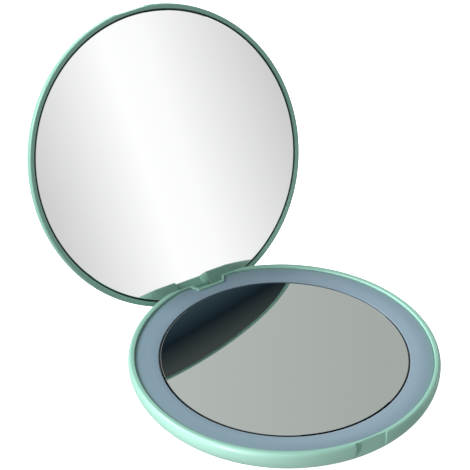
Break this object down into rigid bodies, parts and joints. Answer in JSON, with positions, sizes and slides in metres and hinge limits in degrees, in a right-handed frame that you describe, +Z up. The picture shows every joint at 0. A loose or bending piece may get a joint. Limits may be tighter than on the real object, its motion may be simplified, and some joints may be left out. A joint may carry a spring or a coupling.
{
  "type": "lighted makeup mirror",
  "caption": "Round folding compact mirror: hinged lid mirror, base mirror inside a lighted milky ring, coin cells behind a bayonet door.",
  "frame": {"origin": "centre of the base's underside, on the battery door's flat face", "axes": "+Z up out of the base mirror, +Y towards the hinge and the lid, +X along the hinge pin"},
  "size_m": [0.088, 0.1291, 0.0777],
  "materials": {
    "mint_plastic": "satin moulded plastic, mint green",
    "white_plastic": "white moulded plastic",
    "milky_plastic": "milky light ring, bluish with the light off",
    "mirror_silver": "silvered glass with a ground edge",
    "bright_steel": "bright steel",
    "nickel_sheet": "nickel plated spring sheet",
    "foam_tape": "white foam tape",
    "circuit_board": "white solder mask",
    "led_phosphor": "white package with a yellow phosphor window",
    "chip_black": "black moulded package",
    "magnet_plate": "nickel plated magnet",
    "red_insulation": "red wire insulation",
    "black_insulation": "black wire insulation"
  },
  "bodies": {
    "base": {"base_shell": "mint_plastic", "led_tray": "white_plastic", "diffuser_ring": "milky_plastic", "base_mirror": "mirror_silver", "base_mirror_tape": "foam_tape", "led_board": "circuit_board", "led_01": "led_phosphor", "led_02": "led_phosphor", "led_03": "led_phosphor", "led_04": "led_phosphor", "led_05": "led_phosphor", "led_06": "led_phosphor", "led_07": "led_phosphor", "led_08": "led_phosphor", "led_09": "led_phosphor", "led_10": "led_phosphor", "led_11": "led_phosphor", "led_12": "led_phosphor", "hall_sensor": "chip_black", "driver_chip": "chip_black", "resistor_1": "chip_black", "resistor_2": "chip_black", "battery_cell_left": "bright_steel", "battery_cell_right": "bright_steel", "contact_positive": "nickel_sheet", "contact_negative": "nickel_sheet", "tray_screw_1": "bright_steel", "tray_screw_2": "bright_steel", "tray_screw_3": "bright_steel", "tray_screw_4": "bright_steel", "hinge_pin": "bright_steel", "base_magnet": "magnet_plate", "lead_red": "red_insulation", "lead_black": "black_insulation"},
    "battery_door": {"battery_door": "mint_plastic", "door_bridge_contact": "nickel_sheet"},
    "lid": {"lid_shell": "mint_plastic", "lid_mirror": "mirror_silver", "lid_mirror_tape": "foam_tape", "lid_magnet": "magnet_plate"}
  },
  "joints": [
    {"name": "lid_hinge", "type": "hinge", "parent": "base", "child": "lid", "pos_m": [0, 0.0409, 0.0049], "axis": [1, 0, 0], "range_deg": [0, 117.4]},
    {"name": "door_twist", "type": "hinge", "parent": "base", "child": "battery_door", "pos_m": [0, 0, 0], "axis": [0, 0, -1], "range_deg": [0, 40]}
  ]
}
